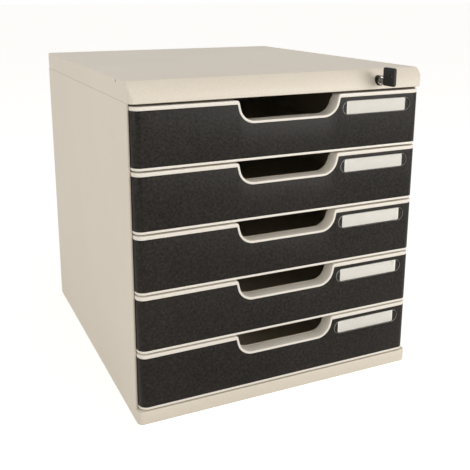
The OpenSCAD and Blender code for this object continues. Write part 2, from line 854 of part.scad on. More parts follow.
base();
side_wall(-1);  // side_wall_left
side_wall(1);  // side_wall_right
back_panel();
lid();
lid_screws();
anti_slip_pads();
runners(-1);  // runners_left
runners(1);  // runners_right
for (i = [1:drawer_count]) translate([0, 0, drawer_z(i)]) {
    drawer_tray();
    drawer_front();
    front_panel();
    label_window();
    label_card();
    tray_rails();
}
lock_barrel();
lock_clip();
lock_core();
lock_cam();
lock_cam_screw();
lock_bar();
lock_bar_arm();
lock_bar_hooks();
lock_bar_guides();
key_blade();
key_head();
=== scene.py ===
# %% [markdown]
# # A five-drawer desktop file drawer
# The real object is a moulded plastic box of shallow drawers for A4 sheets. The CAD model already
# holds every rigid part in its true place, so this script only dresses it. Everything here is in
# metres and in the CAD's own frame: X to the right, Y to the back, Z up.

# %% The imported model
from math import radians

import bmesh
import bpy
import numpy as np
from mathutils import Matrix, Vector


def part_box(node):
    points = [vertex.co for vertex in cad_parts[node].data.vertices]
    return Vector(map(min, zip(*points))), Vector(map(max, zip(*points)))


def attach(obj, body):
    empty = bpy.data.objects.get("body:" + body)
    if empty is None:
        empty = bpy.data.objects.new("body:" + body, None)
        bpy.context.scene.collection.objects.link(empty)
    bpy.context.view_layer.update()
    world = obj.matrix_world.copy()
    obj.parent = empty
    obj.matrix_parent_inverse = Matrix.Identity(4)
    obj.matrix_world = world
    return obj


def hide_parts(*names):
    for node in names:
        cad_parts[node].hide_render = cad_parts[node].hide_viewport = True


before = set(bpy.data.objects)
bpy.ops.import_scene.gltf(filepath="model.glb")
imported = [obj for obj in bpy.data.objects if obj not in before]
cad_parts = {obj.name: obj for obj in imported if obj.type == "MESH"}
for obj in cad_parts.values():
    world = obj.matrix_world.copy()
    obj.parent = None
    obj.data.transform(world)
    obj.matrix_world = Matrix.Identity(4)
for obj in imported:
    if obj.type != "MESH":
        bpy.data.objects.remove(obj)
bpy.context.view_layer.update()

MM = 0.001  # a millimetre in metres

# %% [markdown]
# ## The camera
# The photograph looks at the case from its front left corner and a little from above. Its place and
# focal length come from fitting the case's straight edges. The two shifts put the middle of the
# perspective where the photograph has it, which a turn of the camera could not do without
# slanting the uprights.

# %% Camera
camera = bpy.data.objects.new("Camera", bpy.data.cameras.new("Camera"))
bpy.context.collection.objects.link(camera)
# The focal length and the middle of the perspective, in pixels of a picture 470 pixels wide
picture, focal, middle_x, middle_y = 470, 711.45, 225.27, 170.78
camera.location = (-0.3067, -0.7059, 0.3724)
camera.rotation_euler = (radians(90 - 13.848), 0, radians(-24.353))
camera.data.sensor_width = 36
camera.data.lens = 36 * focal / picture
camera.data.shift_x = 0.5 - middle_x / picture
camera.data.shift_y = middle_y / picture - 0.5
bpy.context.scene.camera = camera
print("lens, mm:", round(camera.data.lens, 2))

# %% [markdown]
# ## A helper for nodes and one for colours
# A material is a tree of nodes. One function adds any node: what is given by socket name is either
# a value or another node's output to link. Another starts a material with an empty tree. Colours
# are written as sRGB hex, as a colour chart gives them, and a third function turns them into the
# linear values that the renderer wants.

# %% Nodes and colours
def add(tree, kind, inputs=None, **settings):
    """Adds a node, applies its settings, and links or sets its inputs."""
    node = tree.nodes.new(kind)
    for key, value in settings.items():
        setattr(node, key, value)
    for key, value in (inputs or {}).items():
        if isinstance(value, bpy.types.NodeSocket):
            tree.links.new(value, node.inputs[key])
        else:
            node.inputs[key].default_value = value
    return node


def blank(name):
    """A new material and its tree, with no node in it yet."""
    material = bpy.data.materials.new(name)
    material.use_nodes = True
    material.node_tree.nodes.clear()
    return material, material.node_tree


def linear(code):
    """sRGB hex to linear: a short straight piece near black, and a power of 2.4 above it."""
    s = np.array([int(code[i:i + 2], 16) for i in (1, 3, 5)]) / 255
    return (*np.where(s <= 0.04045, s / 12.92, ((s + 0.055) / 1.055) ** 2.4), 1.0)


view = bpy.context.scene.view_settings
view.view_transform = "Standard"
print("mid grey becomes", round(linear("#808080")[0], 3))

# %% [markdown]
# ## Light, floor and background
# A product photographer lights such a case in a white tent: light comes from everywhere, with one
# strong lamp at the front right, a weaker one at the left and a faint one above. The world gives
# the even part. The camera, reflections and see-through plastic show it as plain white, while the
# case gets a lower level from it. The floor is pale and adds some white for the same three, so
# that it is white in the open and darker in a shadow.

# %% World and lamps
def seen(tree):
    """1 for a ray from the camera, off a glossy surface or through a clear one, and 0 for the rest."""
    rays = add(tree, "ShaderNodeLightPath").outputs
    direct = add(tree, "ShaderNodeMath", {0: rays["Is Camera Ray"], 1: rays["Is Glossy Ray"]},
                 operation="MAXIMUM")
    return add(tree, "ShaderNodeMath", {0: direct.outputs[0], 1: rays["Is Transmission Ray"]},
               operation="MAXIMUM").outputs[0]


world = bpy.data.worlds.new("White tent")
bpy.context.scene.world = world
world.use_nodes = True
tree = world.node_tree
tree.nodes.clear()
tent = add(tree, "ShaderNodeBackground", {"Color": linear("#fffefb"), "Strength": 0.60})
white = add(tree, "ShaderNodeBackground", {"Color": (1, 1, 1, 1), "Strength": 1.0})
mix = add(tree, "ShaderNodeMixShader", {0: seen(tree), 1: tent.outputs[0], 2: white.outputs[0]})
add(tree, "ShaderNodeOutputWorld", {"Surface": mix.outputs[0]})


def lamp(name, place, aim, size, watts):
    """A round area lamp, turned so that it looks from its place to a point."""
    light = bpy.data.lights.new(name, "AREA")
    light.shape, light.size, light.energy = "DISK", size, watts
    obj = bpy.data.objects.new(name, light)
    bpy.context.collection.objects.link(obj)
    obj.location = place
    way = np.array(aim) - np.array(place)
    tilt = np.arctan2(np.hypot(way[0], way[1]), -way[2])
    obj.rotation_euler = (tilt, 0, np.arctan2(way[1], way[0]) - np.pi / 2)


lamp("Front lamp", (0.9, -1.5, 0.5), (0, 0, 0.15), 0.9, 15)
lamp("Left lamp", (-1.6, -0.5, 0.6), (0, 0, 0.15), 1.0, 8)
lamp("Top lamp", (0.0, -0.3, 1.8), (0, 0, 0.2), 1.0, 1.2)

# %% Floor
reach = 30  # half of the floor's width, in metres
floor_mesh = bpy.data.meshes.new("Floor")
corners = [(-reach, -reach, 0), (reach, -reach, 0), (reach, reach, 0), (-reach, reach, 0)]
floor_mesh.from_pydata(corners, [], [(0, 1, 2, 3)])
floor = bpy.data.objects.new("Floor", floor_mesh)
bpy.context.collection.objects.link(floor)
paper_sweep, tree = blank("White paper sweep")
matt = add(tree, "ShaderNodeBsdfDiffuse", {"Color": linear("#dcdbd9")})
lift = add(tree, "ShaderNodeMath", {0: seen(tree), 1: 0.55}, operation="MULTIPLY")
glow = add(tree, "ShaderNodeEmission", {"Color": (1, 1, 1, 1), "Strength": lift.outputs[0]})
both = add(tree, "ShaderNodeAddShader", {0: matt.outputs[0], 1: glow.outputs[0]})
add(tree, "ShaderNodeOutputMaterial", {"Surface": both.outputs[0]})
floor_mesh.materials.append(paper_sweep)
print("floor, m:", 2 * reach, "by", 2 * reach)

# %% [markdown]
# ## Finishes
# Nearly all of the case is injection-moulded. The mould's cavity is textured, so the plastic leaves it
# with a fine, even grain that breaks up reflections: that grain goes into bump and roughness. A
# slow drift of tone stands for flow in the mould and for handling. One function makes any such finish,
# because what differs between them is colour, grain size, depth and gloss.

# %% Moulded plastic
def moulded(name, deep, pale, grain_mm, relief_mm, rough, ior=1.5, drift_mm=110.0, pits=0.35,
            specular=0.5):
    """Fine noise and cells for the grain, slow noise for the tone, all in real millimetres."""
    material, tree = blank(name)
    place = add(tree, "ShaderNodeTexCoord").outputs["Object"]
    grain = add(tree, "ShaderNodeTexNoise", {"Vector": place, "Scale": 1 / (grain_mm * MM),
                                             "Detail": 2.0, "Roughness": 0.55})
    # The cells are a little coarser than the noise
    cells = add(tree, "ShaderNodeTexVoronoi", {"Vector": place, "Scale": 0.7 / (grain_mm * MM),
                                               "Randomness": 1.0}, feature="SMOOTH_F1")
    drift = add(tree, "ShaderNodeTexNoise", {"Vector": place, "Scale": 1 / (drift_mm * MM),
                                             "Detail": 3.0, "Roughness": 0.5})
    height = add(tree, "ShaderNodeMix", {"Factor": pits, "A": grain.outputs["Fac"],
                                         "B": cells.outputs["Distance"]}, data_type="FLOAT")
    tone = add(tree, "ShaderNodeMix", {"Factor": 0.25, "A": height.outputs[0],
                                       "B": drift.outputs["Fac"]}, data_type="FLOAT")
    colour = add(tree, "ShaderNodeValToRGB", {"Fac": tone.outputs[0]})
    first, last = colour.color_ramp.elements
    first.position, first.color = 0.3, linear(deep)
    last.position, last.color = 0.68, linear(pale)
    gloss = add(tree, "ShaderNodeMapRange", {"Value": height.outputs[0],
                                             "From Min": 0.25, "From Max": 0.75,
                                             "To Min": rough - 0.06, "To Max": rough + 0.08})
    bump = add(tree, "ShaderNodeBump", {"Height": height.outputs[0], "Strength": 1.0,
                                        "Distance": relief_mm * MM})
    shader = add(tree, "ShaderNodeBsdfPrincipled", {"Base Color": colour.outputs["Color"], "IOR": ior,
                                                    "Specular IOR Level": specular,
                                                    "Roughness": gloss.outputs["Result"],
                                                    "Normal": bump.outputs["Normal"]})
    add(tree, "ShaderNodeOutputMaterial", {"Surface": shader.outputs[0]})
    return material


# Warm beige polystyrene with a fine spark-eroded grain: real grit is near 0.2 mm, which is under a
# pixel here, so it is drawn at 0.8 mm
CASE_BEIGE = moulded("Beige polystyrene, fine spark grain", "#cdc2b1", "#dad0c1", 0.8, 0.018, 0.5)
# The drawer fronts come from their own mould, a little smoother and paler
FRONT_BEIGE = moulded("Beige polystyrene, satin front", "#dad2c5", "#e6dfd4", 0.7, 0.01, 0.42)
# The trays are plain satin inside the case. Their beige is a shade darker than the case's: painted
# shade for the inside of the case
SHADED_TRAY_BEIGE = moulded("Beige polystyrene, satin tray", "#c9beab", "#d6ccbb", 0.9, 0.012, 0.46)
# Black ABS with a leather-like pebble grain: the real pebbles are near 0.6 mm, which is under a pixel
# here, so they are drawn at 1.5 mm. Light is lost between the pebbles, so the gloss is weaker
# than on smooth ABS
PANEL_BLACK = moulded("Black ABS, pebble grain", "#060504", "#2e2822", 1.5, 0.13, 0.4, ior=1.53,
                      pits=0.6, specular=0.13)
# The key's head is plain black nylon
HEAD_BLACK = moulded("Black nylon, matt", "#0a0a0a", "#171615", 0.6, 0.02, 0.5, ior=1.53,
                     drift_mm=8.0, specular=0.25)
# The pads are dull rubber
PAD_RUBBER = moulded("Black rubber, dull", "#1d1d1c", "#2d2c2b", 1.2, 0.05, 0.8, ior=1.52,
                     drift_mm=12.0)
print("beige finishes:", CASE_BEIGE.name, "|", FRONT_BEIGE.name, "|", SHADED_TRAY_BEIGE.name)
print("black finishes:", PANEL_BLACK.name, "|", HEAD_BLACK.name, "|", PAD_RUBBER.name)

# %% [markdown]
# The steel parts are plated. Plating is smooth, so what shows is fine scratches that run along the
# part from handling and rolling: a noise that is stretched many times along one axis.

# %% Plated steel
def plated(name, deep, pale, rough, scratch_mm, length_mm, along):
    """Noise stretched along one axis: short across the scratches, long beside them."""
    material, tree = blank(name)
    place = add(tree, "ShaderNodeTexCoord").outputs["Object"]
    across, beside = 1 / (scratch_mm * MM), 1 / (length_mm * MM)
    stretch = [beside if a else across for a in along]
    spread = add(tree, "ShaderNodeMapping", {"Vector": place, "Scale": stretch})
    lines = add(tree, "ShaderNodeTexNoise", {"Vector": spread.outputs[0], "Scale": 1.0, "Detail": 3.0})
    # Soft clouds about 4 mm across stand for an uneven coat
    clouds = add(tree, "ShaderNodeTexNoise", {"Vector": place, "Scale": 1 / (4 * MM), "Detail": 2.0})
    tone = add(tree, "ShaderNodeMix", {"Factor": 0.4, "A": clouds.outputs["Fac"],
                                       "B": lines.outputs["Fac"]}, data_type="FLOAT")
    colour = add(tree, "ShaderNodeValToRGB", {"Fac": tone.outputs[0]})
    first, last = colour.color_ramp.elements
    first.position, first.color = 0.35, linear(deep)
    last.position, last.color = 0.62, linear(pale)
    gloss = add(tree, "ShaderNodeMapRange", {"Value": tone.outputs[0], "From Min": 0.3, "From Max": 0.7,
                                             "To Min": rough + 0.08, "To Max": rough - 0.06})
    bump = add(tree, "ShaderNodeBump", {"Height": lines.outputs["Fac"], "Strength": 0.6,
                                        "Distance": 0.01 * MM})
    shader = add(tree, "ShaderNodeBsdfPrincipled", {"Base Color": colour.outputs["Color"],
                                                    "Metallic": 1.0,
                                                    "Roughness": gloss.outputs["Result"],
                                                    "Normal": bump.outputs["Normal"]})
    add(tree, "ShaderNodeOutputMaterial", {"Surface": shader.outputs[0]})
    return material


# The scratches run upwards on rolled strip, and along the lock's axis on the turned parts
ZINC = plated("Zinc-plated steel, rolled", "#8f9294", "#b4b6b6", 0.34, 0.25, 6.0, along=(0, 0, 1))
NICKEL = plated("Nickel-plated steel", "#8f8d88", "#b9b6b0", 0.24, 0.2, 4.0, along=(0, 1, 0))
BLACK_CHROME = plated("Black-plated zinc casting", "#0e0e0f", "#262627", 0.28, 0.2, 2.0, along=(0, 1, 0))
print("plated finishes:", ZINC.name, "|", NICKEL.name, "|", BLACK_CHROME.name)

# %% [markdown]
# The label is paper, and a clear strip clips in over it. The strip is clear polystyrene, about
# 1.3 mm thick. Drawn as refracting glass, it would keep the lamps off the paper, so it is
# nearly see-through from the front. At a flat angle it turns opaque in its pale colour: a painted
# sheen, over its real gloss. At its rounded rim the same pale colour is a painted highlight.

# %% Label paper
PAPER, tree = blank("Label paper, uncoated")
place = add(tree, "ShaderNodeTexCoord").outputs["Object"]
# Fibres are about 2 mm long and lie mostly along the sheet. They are drawn 0.4 to 0.5 mm thick,
# because real ones are too thin to show
spread = add(tree, "ShaderNodeMapping", {"Vector": place, "Scale": (500, 2000, 2500)})
fibres = add(tree, "ShaderNodeTexNoise", {"Vector": spread.outputs[0], "Scale": 1.0, "Detail": 4.0})
colour = add(tree, "ShaderNodeValToRGB", {"Fac": fibres.outputs["Fac"]})
first, last = colour.color_ramp.elements
first.position, first.color = 0.3, linear("#f8f3ea")
last.position, last.color = 0.7, linear("#fffdf8")
bump = add(tree, "ShaderNodeBump", {"Height": fibres.outputs["Fac"], "Strength": 0.5,
                                    "Distance": 0.02 * MM})
shader = add(tree, "ShaderNodeBsdfPrincipled", {"Base Color": colour.outputs["Color"],
                                                "Roughness": 0.85,
                                                "Normal": bump.outputs["Normal"]})
add(tree, "ShaderNodeOutputMaterial", {"Surface": shader.outputs[0]})
print("label:", PAPER.name)

# %% Clear plastic
CLEAR, tree = blank("Clear polystyrene, polished")
place = add(tree, "ShaderNodeTexCoord").outputs
# Moulded strips are a little wavy, over about 8 mm
wave = add(tree, "ShaderNodeTexNoise", {"Vector": place["Object"], "Scale": 120.0, "Detail": 2.0})
bump = add(tree, "ShaderNodeBump", {"Height": wave.outputs["Fac"], "Strength": 0.4,
                                    "Distance": 0.04 * MM})
# At a flat angle the strip turns opaque and shows its pale colour: a painted sheen over the real gloss
facing = add(tree, "ShaderNodeLayerWeight", {"Blend": 0.5, "Normal": bump.outputs["Normal"]})
flat = add(tree, "ShaderNodeMapRange", {"Value": facing.outputs["Facing"],
                                        "From Min": 0.5, "From Max": 0.9,
                                        "To Min": 0.008, "To Max": 0.6})
# The rim is where the surface no longer faces the front or the back. There the strip turns opaque
# and pale: a painted highlight
turned = add(tree, "ShaderNodeSeparateXYZ", {"Vector": place["Normal"]})
turned = add(tree, "ShaderNodeMath", {0: turned.outputs["Y"]}, operation="ABSOLUTE")
rim = add(tree, "ShaderNodeMapRange", {"Value": turned.outputs[0], "From Min": 0.95, "From Max": 0.5,
                                       "To Min": 0.0, "To Max": 0.55})
sheen_and_highlight = add(tree, "ShaderNodeMath", {0: flat.outputs["Result"], 1: rim.outputs["Result"]},
            operation="MAXIMUM")
smear = add(tree, "ShaderNodeMapRange", {"Value": wave.outputs["Fac"], "To Min": 0.05, "To Max": 0.14})
shader = add(tree, "ShaderNodeBsdfPrincipled", {"Base Color": linear("#eeebe3"), "IOR": 1.59,
                                                "Roughness": smear.outputs["Result"],
                                                "Alpha": sheen_and_highlight.outputs[0],
                                                "Normal": bump.outputs["Normal"]})
add(tree, "ShaderNodeOutputMaterial", {"Surface": shader.outputs[0]})
print("window:", CLEAR.name)

# %% [markdown]
# ## From numbers to a piece
# Every new piece below is a stack of closed loops of points with the same count, worked out as one
# array in millimetres. Neighbouring loops are joined by quads. Each loop is a chain of points from
# one end of the shape to the other, and a chain back on its other side with as many points, so the
# first and last loops can be closed by a row of quads between the two chains.

# %% Skin over loops
def skin(loops):
    """Quads between loop k and loop k + 1, and a strip from chain to chain on both end loops."""
    count, size, _ = loops.shape
    i, after = np.arange(size), (np.arange(size) + 1) % size
    row = np.arange(count - 1)[:, None] * size
    wall = np.stack([row + i, row + after, row + size + after, row + size + i], -1)
    j = np.arange(size // 2 - 1)
    strip = np.stack([j, j + 1, size - 2 - j, size - 1 - j], -1)
    faces = np.vstack([wall.reshape(-1, 4), strip, strip[:, ::-1] + (count - 1) * size])
    return loops.reshape(-1, 3), faces


def rounding(radius, steps=4):
    """A quarter circle as pairs (how far in, how far below the face), from the wall to the face."""
    t = np.linspace(0, np.pi / 2, steps)
    return np.stack([radius * (1 - np.cos(t)), radius * (1 - np.sin(t))], -1)


print("quarter circle of 1 mm:", rounding(1).round(2).tolist())

# %% [markdown]
# A piece then needs its mesh, its finish, the body that it moves with and the CAD node that it
# stands for. Points that fall together at a pole or a seam are merged, and the normals are turned
# outwards. Shading is smooth, but an edge sharper than 35 degrees stays crisp.

# %% A finished piece
def crisp(mesh):
    """Smooth shading, but not across an edge that turns by more than 35 degrees."""
    mesh.shade_smooth()
    mesh.set_sharp_from_angle(angle=radians(35))


def tidy(mesh):
    """Merges points that lie together, turns the faces outwards and counts the open edges."""
    merge = 0.002 * MM
    work = bmesh.new()
    work.from_mesh(mesh)
    bmesh.ops.remove_doubles(work, verts=work.verts, dist=merge)
    bmesh.ops.dissolve_degenerate(work, edges=work.edges, dist=merge / 2)
    bmesh.ops.recalc_face_normals(work, faces=work.faces)
    open_edges = sum(1 for e in work.edges if len(e.link_faces) != 2)
    work.to_mesh(mesh)
    work.free()
    crisp(mesh)
    return open_edges


def piece(name, parts, finish, body, node):
    """Joins (points in mm, faces) pairs into one object and ties it to its body, slot and node."""
    starts = np.cumsum([0] + [len(p) for p, _ in parts[:-1]])
    points = np.vstack([p for p, _ in parts]) * MM
    faces = np.vstack([f + s for (_, f), s in zip(parts, starts)])
    mesh = bpy.data.meshes.new(name)
    mesh.from_pydata(points.tolist(), [], faces.tolist())
    obj = bpy.data.objects.new(name, mesh)
    bpy.context.collection.objects.link(obj)
    mesh.materials.append(finish)
    open_edges = tidy(mesh)
    if open_edges:
        print("open edges in", name, open_edges)
    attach(obj, body)
    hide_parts(node)
    return obj


def box_mm(node):
    """The low and the high corner of a CAD node's box, in millimetres."""
    low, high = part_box(node)
    return np.array(low) / MM, np.array(high) / MM


print("the lid's box, mm:", [corner.round(2).tolist() for corner in box_mm("lid")])

# %% [markdown]
# ## The lid
# The lid is one shallow moulding, open below. Its front is a nose that leans back in an arc, its
# side and back edges are softly rounded, and a ridge runs where the nose meets the top. It could
# be a bevelled box, but the nose, the ridge and the round corners run into each other, and a
# stack of plans, one for each height, gets all of them at once: each plan is a rounded
# rectangle cut off at the front by the nose's line for that height.

# %% The lid's plans
lid_low, lid_high = box_mm("lid")
y_front, y_back = lid_low[1], lid_high[1]
half, lid_h = lid_high[0], lid_high[2] - lid_low[2]
# How far the nose leans back, the roundings from the ridge to the lip at the bottom, and the wall
nose_depth, ridge_r, edge_r, corner_r, back_r, lip_r, lid_t = 9.5, 1.0, 1.8, 6.0, 3.0, 0.6, 2.0
nose_r = (nose_depth ** 2 + lid_h ** 2) / (2 * nose_depth)


def nose_line(h):
    """How far back the front lies at height h: the nose's arc, then the ridge's smaller one."""
    middle_h = lid_h - ridge_r
    middle = nose_r - np.sqrt((nose_r - ridge_r) ** 2 - middle_h ** 2)
    if h < middle_h * nose_r / (nose_r - ridge_r):
        return nose_r - np.sqrt(nose_r ** 2 - h ** 2)
    return middle - np.sqrt(max(ridge_r ** 2 - (h - middle_h) ** 2, 0))


def lid_plan(h, inset, front, ease=1.5):
    """Right half of the plan: the front line, a small arc that eases the crease, what is left of
    the corner's arc, the side and the back corner; then the same mirrored."""
    side, radius = half - inset, corner_r - inset
    crease = min(ease, 0.8 * radius)
    turn = np.arccos(np.clip((corner_r - front - crease) / (radius - crease), 0, 1))
    middle = np.array([half - corner_r, max(corner_r, front + crease)])
    knee = middle + (radius - crease) * np.array([np.sin(turn), -np.cos(turn)])
    fan, arc = np.linspace(0, turn, 6)[:, None], np.linspace(turn, np.pi / 2, 9)[1:, None]
    small = knee + crease * np.hstack([np.sin(fan), -np.cos(fan)])
    large = middle + radius * np.hstack([np.sin(arc), -np.cos(arc)])
    line = np.linspace([0, small[0, 1]], small[0], 5)[:-1]
    end = np.linspace(0, np.pi / 2, 6)[:, None]
    deep = y_back - y_front - inset
    rear = np.array([side - back_r, deep - back_r]) + back_r * np.hstack([np.cos(end), np.sin(end)])
    flank = np.linspace(large[-1], rear[0], 6)[1:-1]
    right = np.vstack([line, small, large, flank, rear, [[0, deep]]])
    plan = np.vstack([right, right[::-1] * [-1, 1]])
    return np.hstack([plan[:, :1], y_front + plan[:, 1:], np.full((len(plan), 1), lid_low[2] + h)])


# Levels as (height, inset of the sides and back, inset of the front), from the ceiling inside,
# down to the lip and up the outside to a last loop on the flat top
flat_in = 3.0
inner = [(h, lid_t, nose_line(h) + lid_t) for h in (lid_h - lid_t, 13.5, 11.0, 8.0, 5.0, 2.5, 0.0)]
lower = [(low, near, 0.0) for near, low in rounding(lip_r)[::-1]]
outer = [(h, 0.0, nose_line(h)) for h in np.linspace(lip_r, lid_h - edge_r, 14)]
upper = [(lid_h - low, near, nose_line(lid_h - low)) for near, low in rounding(edge_r, 8)[1:]]
ring = [(lid_h, edge_r + flat_in, nose_line(lid_h) + flat_in)]
lid_loops = np.array([lid_plan(*level) for level in inner + lower + outer + upper + ring])
print("lid loops, points in a loop:", lid_loops.shape[:2])

# %% [markdown]
# Below its top the lid carries a boss over each of its six screws. The bosses are plain round posts,
# drawn as their own closed skins in the same mesh.

# %% The lid as a piece
def circle(count):
    """Cosines and sines round a circle: up on the right and down on the left, as two chains."""
    t = np.linspace(-np.pi / 2, 3 * np.pi / 2, count, endpoint=False) + np.pi / count
    return np.cos(t), np.sin(t)


def post(x, y, radius, low, high, foot=0.4, count=32):
    """A round post as a circle at three levels, drawn in a little at its foot."""
    cos, sin = circle(count)
    rows = [(low, radius - foot), (low + foot, radius), (high, radius)]
    return np.array([np.column_stack([x + r * cos, y + r * sin, np.full(count, z)]) for z, r in rows])


# A boss starts just above the lid's lower edge and ends inside the top's wall. The screws' heads
# have a radius of head_r, so the box round all six gives the places of their axes
boss_r, boss_low, boss_high, head_r = 3.6, lid_low[2] + 0.1, lid_high[2] - lid_t + 0.5, 2.9
screw_low, screw_high = box_mm("lid_screws")
boss_x, boss_ys = screw_high[0] - head_r, (screw_low[1] + head_r, 0, screw_high[1] - head_r)
posts = [skin(post(x, y, boss_r, boss_low, boss_high)) for x in (-boss_x, boss_x) for y in boss_ys]
lid = piece("Lid", [skin(lid_loops)] + posts, CASE_BEIGE, "casing", "lid")
print("bosses at x, y, mm:", round(float(boss_x), 2), [round(float(y), 2) for y in boss_ys])

# %% [markdown]
# Near the front of each side edge the mould's core pin leaves a small blind hole. A round hole does
# not follow the lid's rows of points, so it is cut with an exact Boolean, which is applied at once.

# %% Pin holes
def carve(obj, points, faces):
    """Takes a closed shape out of a piece and keeps the result as its mesh."""
    mesh = bpy.data.meshes.new("cutter")
    mesh.from_pydata((points * MM).tolist(), [], faces.tolist())
    tidy(mesh)
    cutter = bpy.data.objects.new("cutter", mesh)
    bpy.context.collection.objects.link(cutter)
    cut = obj.modifiers.new("Cut", "BOOLEAN")
    cut.operation, cut.solver, cut.object = "DIFFERENCE", "EXACT", cutter
    graph = bpy.context.evaluated_depsgraph_get()
    carved = bpy.data.meshes.new_from_object(obj.evaluated_get(graph))
    obj.modifiers.clear()
    old, obj.data = obj.data, carved
    bpy.data.meshes.remove(old)
    bpy.data.objects.remove(cutter)
    bpy.data.meshes.remove(mesh)
    crisp(carved)


over = 1.0  # how far a cutter stands out of the surface that it enters
pin_r, pin_back, pin_down, pin_deep, pin_count = 1.4, 36, 2.6, 1.95, 24
cos, sin = circle(pin_count)
pin_xs = half - pin_deep, half + over
pin_y, pin_z = y_front + pin_back + pin_r * cos, lid_high[2] - pin_down + pin_r * sin
pin = np.array([np.column_stack([np.full(pin_count, x), pin_y, pin_z]) for x in pin_xs])
for side in (1, -1):
    carve(lid, *skin(pin * [side, 1, 1]))
print("lid faces:", len(lid.data.polygons))

# %% [markdown]
# ## Drawer fronts
# Each front is a beige frame with a black panel set in it. Both wrap round the case's corners and
# both dip in the middle for the fingers. They are drawn flat first, as outlines in a strip of paper:
# u runs along the front and z up. A second function bends the strip round the corners, and depth d
# goes into it. The outline is a frame-shaped section: floor of the seat, rim, outer edge, back
# edge and inner flange, each one an outline with its own insets and depth.

# %% The strip and its bend
front_low, front_high = box_mm("drawer_front_1")
front_h = front_high[2] - front_low[2]
front_r, front_wall = 7.5, 4.4  # the corner's radius in plan, and how thick the front is
front_depth = front_high[1] - front_low[1]
flat_half = front_high[0] - front_r
strip_end = flat_half + front_r * np.pi / 2 + front_depth - front_r


def bend(u, z, d):
    """Straight along x up to the corner, then round a quarter circle, then straight back.
    Depth goes inwards at right angles to the strip, and behind the wall straight back."""
    s = np.abs(u)
    turn = np.clip((s - flat_half) / front_r, 0, np.pi / 2)
    past = np.maximum(s - flat_half - front_r * np.pi / 2, 0)
    radius = front_r - np.minimum(d, front_wall)
    x = np.minimum(s, flat_half) + radius * np.sin(turn)
    y = front_r - radius * np.cos(turn) + past
    y = y + (front_depth - y) * np.clip((d - front_wall) / (front_depth - front_wall), 0, 1)
    return np.stack([np.sign(u) * x, y_front + y, z + 0 * u], -1)


# The finger cut-out: middle, half of its flat bottom, depth, arc, lean of the sides, top rounding
cut_x, cut_half, cut_depth, cut_r, cut_lean, cut_top_r = 2.1, 35.0, 18.4, 14.0, radians(13), 2.5
# Where a loop has its points on the flat bottom, beside the cut-out and round the corner
flat_u, beside_u = (0.0, 12.0, 24.0), (66.0, 90.0, 114.0, 126.0)
corner_u = flat_half + front_r * np.linspace(0, np.pi / 2, 9)


def half_cut(level, grow, soft):
    """From the cut-out's middle to its top edge: flat, arc, leaning side, arc of radius soft."""
    r, middle_z = cut_r + grow, front_h - cut_depth + cut_r
    a = np.linspace(-np.pi / 2, -cut_lean, 14)
    arc = np.stack([cut_half + r * np.cos(a), middle_z + r * np.sin(a)], -1)
    top_z = level - soft
    top_x = cut_half + (r + soft) / np.cos(cut_lean) + (top_z - middle_z) * np.tan(cut_lean)
    b = np.linspace(np.pi - cut_lean, np.pi / 2, 8)
    top = np.stack([top_x + soft * np.cos(b), top_z + soft * np.sin(b)], -1)
    flat = np.array([[u, middle_z - r] for u in flat_u])
    return np.vstack([flat, arc, top])


def outline(top, cut, bottom, end, d):
    """One loop of the section, from four insets (top edge, cut-out, bottom edge, ends) and a depth."""
    level = front_h - top
    dip = half_cut(level, cut, max(cut_top_r - cut, 0.5))
    stations = np.concatenate([beside_u, corner_u, [strip_end - end]])
    run = np.column_stack([stations, np.full(len(stations), level)])
    right = np.vstack([dip + [cut_x, 0], run])
    left = np.vstack([dip[1:] * [-1, 1] + [cut_x, 0], run * [-1, 1]])[::-1]
    u, z = np.vstack([left, right]).T
    u, z = np.concatenate([u, u[::-1]]), np.concatenate([z, np.full(len(z), bottom)])
    return bend(u, z, np.full(len(u), float(d)))


print("half of the strip, mm:", round(float(strip_end), 2))
print("points in a loop:", len(outline(0, 0, 0, 0, 0)))

# %% [markdown]
# The frame's section runs from the panel's seat, up the seat's wall, over the rim with a small
# rounding on both sides, back along the outer edge, round to the inner flange and to the wall
# behind the panel. Moulded edges are never knife-sharp: these roundings give the thin bright
# lines that run above and below each panel.

# %% Frame section
# Insets of the top edge, the cut-out, the bottom edge and the ends. The ends stay open to the
# walls behind them, so some steps leave their inset at nothing
seat, flange, seat_d = np.array([3.3, 2.1, 2.2, 2.0]), np.array([2.0, 2.1, 2.0, 0.0]), 2.0
every, but_ends = np.ones(4), np.array([1, 1, 1, 0])
seat_soft, rim_soft, back_soft, root_soft = 0.25, 0.5, 0.3, 0.8
section = [(seat, seat_d)]
section += [(seat - near, low) for near, low in rounding(seat_soft, 3)]
section += [(near * every, low) for near, low in rounding(rim_soft, 5)[::-1]]
section += [(0 * every, front_wall), (0 * every, front_depth - back_soft)]
section += [(back_soft * but_ends, front_depth), (flange, front_depth)]
section += [(flange + (root_soft - low) * but_ends, front_wall + low) for low in (root_soft, 0.25, 0.0)]
frame_loops = np.array([outline(*insets, d) for insets, d in section])
frame_points, frame_faces = skin(frame_loops)
print("frame section steps:", len(section), "faces:", len(frame_faces))

# %% [markdown]
# The panel fills the seat with a 0.1 mm gap all round. Its label pocket is cut out with a Boolean,
# which leaves the wrapped surface around it untouched. The cutter is a stadium, a bar with
# round ends, as deep as the pocket.

# %% Panel and pocket
gap = 0.1
panel_in, panel_back, panel_soft = seat + gap, seat_d - 0.02, 0.35
steps = [(panel_in, panel_back)] + [(panel_in + near, low) for near, low in rounding(panel_soft, 4)]
panel_points, panel_faces = skin(np.array([outline(*insets, d) for insets, d in steps]))

window_low, window_high = box_mm("label_window_1")
card_low, card_high = box_mm("label_card_1")
window_mid = (window_low + window_high) / 2
window_z = window_mid[2] - front_low[2]
window_half = (window_high - window_low)[[0, 2]] / 2
pocket_d = card_high[1] - y_front


